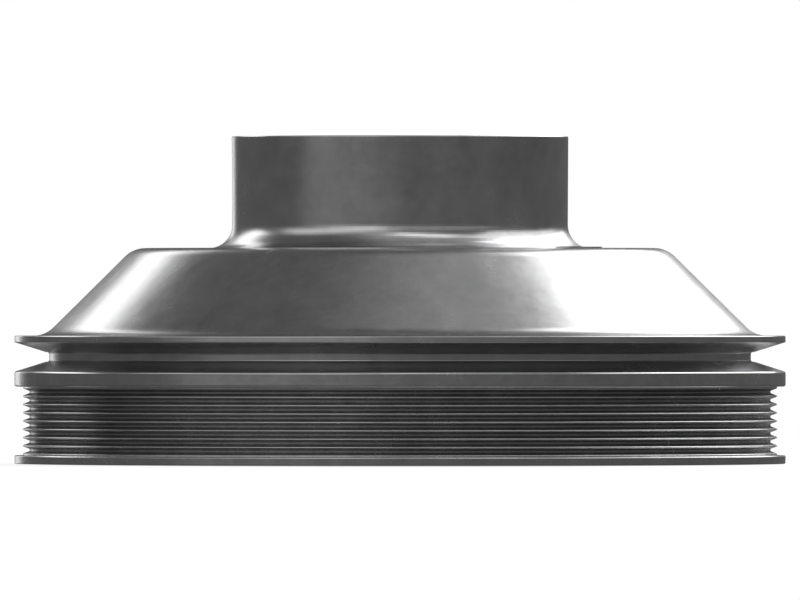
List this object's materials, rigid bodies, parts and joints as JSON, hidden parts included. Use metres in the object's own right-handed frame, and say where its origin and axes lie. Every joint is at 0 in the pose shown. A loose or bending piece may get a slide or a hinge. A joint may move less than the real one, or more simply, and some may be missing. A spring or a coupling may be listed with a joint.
{
  "type": "fan pulley",
  "caption": "Engine fan pulley machined from one casting: ribbed-belt rim and V-belt groove between flanges, conical body, hollow barrel with a bored and bolted front web.",
  "frame": {"origin": "on the shaft axis at the rear face of the belt rim, which is the face that the pulley stands on", "axes": "+Z along the shaft axis, from the rim's rear face to the front face that carries the fan; X through one bolt hole"},
  "size_m": [0.332, 0.332, 0.1409],
  "materials": {
    "machined_iron": "satin dark grey iron, turned all over the outside, with a faint cloudy mottle"
  },
  "bodies": {
    "root": {"pulley": "machined_iron"}
  },
  "joints": []
}
